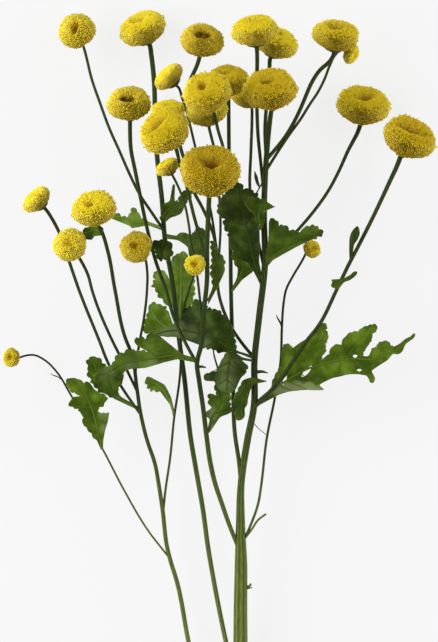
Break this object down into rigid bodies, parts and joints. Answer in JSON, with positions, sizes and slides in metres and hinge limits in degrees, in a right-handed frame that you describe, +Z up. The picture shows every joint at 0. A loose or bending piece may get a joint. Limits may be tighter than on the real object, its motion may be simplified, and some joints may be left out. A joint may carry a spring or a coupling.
{
  "type": "matricaria stem",
  "caption": "Cut branched stem of yellow button-flowered matricaria with lobed green leaves, lying on a surface, for bouquets and table scenes.",
  "frame": {"origin": "middle of the footprint, on the surface that the stem lies on", "axes": "+Y along the stem from its cut end to the flower heads, +X to the right seen from above, +Z up"},
  "size_m": [0.1468, 0.3094, 0.0696],
  "materials": {
    "florets": "matt packed tube florets",
    "stem_green": "fresh ribbed stem, low sheen",
    "leaf_bright": "fresh leaf, low sheen",
    "leaf_middle": "fresh leaf, low sheen",
    "leaf_dark": "shaded fresh leaf, low sheen",
    "bract_grey": "downy bract, matt"
  },
  "bodies": {
    "root": {"flower_head_01": "florets", "flower_head_02": "florets", "flower_head_03": "florets", "flower_head_04": "florets", "flower_head_05": "florets", "flower_head_06": "florets", "flower_bud_07": "florets", "flower_head_08": "florets", "flower_head_09": "florets", "flower_head_10": "florets", "flower_head_11": "florets", "flower_head_12": "florets", "flower_head_13": "florets", "flower_head_14": "florets", "flower_head_15": "florets", "flower_head_16": "florets", "flower_head_17": "florets", "flower_head_18": "florets", "flower_head_19": "florets", "flower_bud_20": "florets", "flower_head_21": "florets", "flower_head_22": "florets", "flower_head_23": "florets", "flower_head_24": "florets", "flower_bud_25": "florets", "flower_bud_26": "florets", "flower_bud_27": "florets", "stem_main": "stem_green", "stem_back_left": "stem_green", "stem_front": "stem_green", "stem_back": "stem_green", "stem_left": "stem_green", "stem_middle": "stem_green", "stem_right_top": "stem_green", "stem_right_upper": "stem_green", "stem_right_lower": "stem_green", "stem_right_bud": "stem_green", "leaf_right_large": "leaf_bright", "leaf_right_upper": "leaf_middle", "leaf_main_upper": "leaf_dark", "leaf_main_tip": "leaf_middle", "leaf_back_small": "leaf_bright", "leaf_left_long": "leaf_middle", "leaf_left_middle": "leaf_bright", "leaf_left_low": "leaf_bright", "leaf_left_curved": "leaf_middle", "leaf_centre_dark": "leaf_dark", "leaf_centre_hanging": "leaf_bright", "leaf_centre_low": "leaf_dark", "leaf_main_low": "leaf_bright", "leaf_centre_narrow": "leaf_middle", "leaf_back_large": "leaf_bright", "leaf_back_round": "leaf_bright", "leaf_back_right": "leaf_middle", "leaf_back_dark": "leaf_dark", "leaf_back_left": "leaf_bright", "leaf_bud_side": "leaf_middle", "bract_right_long": "bract_grey", "bract_right_short": "bract_grey", "bract_left": "leaf_bright"}
  },
  "joints": []
}
